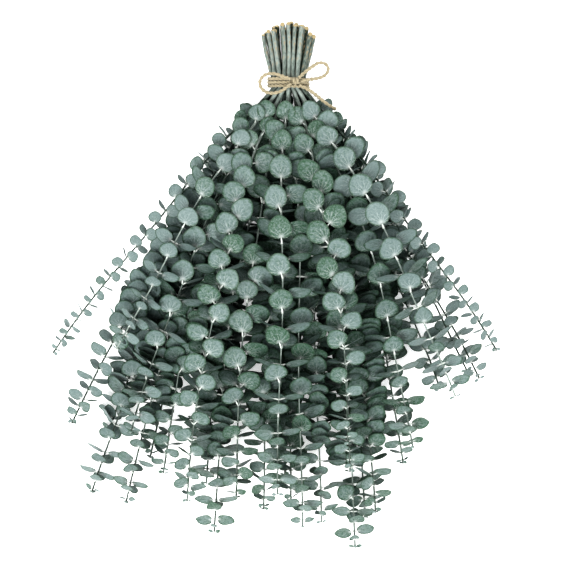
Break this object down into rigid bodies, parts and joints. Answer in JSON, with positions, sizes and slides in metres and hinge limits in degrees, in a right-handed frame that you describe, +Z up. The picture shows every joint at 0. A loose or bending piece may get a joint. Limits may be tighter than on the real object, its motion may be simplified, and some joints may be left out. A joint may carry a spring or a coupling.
{
  "type": "tied eucalyptus bunch",
  "caption": "Fan of round-leaved eucalyptus branches lying flat, bound at the neck with jute twine tied in a bow, for decoration or flower arranging.",
  "frame": {"origin": "under the middle of the bunch, on the surface it lies on, the bow's loops and free end left out", "axes": "+Y from the leaf tips to the cut ends, +Z up from the surface, +X to the right as seen from above with the cut ends away"},
  "size_m": [0.3786, 0.4498, 0.0937],
  "materials": {
    "leaf": "matte blue-green leaves with a pale bloom, on grey-green bark",
    "twine": "rough two-ply jute, undyed"
  },
  "bodies": {
    "root": {"branch_01": "leaf", "branch_02": "leaf", "branch_03": "leaf", "branch_04": "leaf", "branch_05": "leaf", "branch_06": "leaf", "branch_07": "leaf", "branch_08": "leaf", "branch_09": "leaf", "branch_10": "leaf", "branch_11": "leaf", "branch_12": "leaf", "branch_13": "leaf", "branch_14": "leaf", "branch_15": "leaf", "branch_16": "leaf", "branch_17": "leaf", "branch_18": "leaf", "branch_19": "leaf", "branch_20": "leaf", "branch_21": "leaf", "branch_22": "leaf", "branch_23": "leaf", "branch_24": "leaf", "branch_25": "leaf", "branch_26": "leaf", "branch_27": "leaf", "branch_28": "leaf", "branch_29": "leaf", "branch_30": "leaf", "branch_31": "leaf", "branch_32": "leaf", "twine_wrap": "twine", "twine_knot": "twine", "twine_loop_left": "twine", "twine_loop_right": "twine", "twine_tail": "twine"}
  },
  "joints": []
}
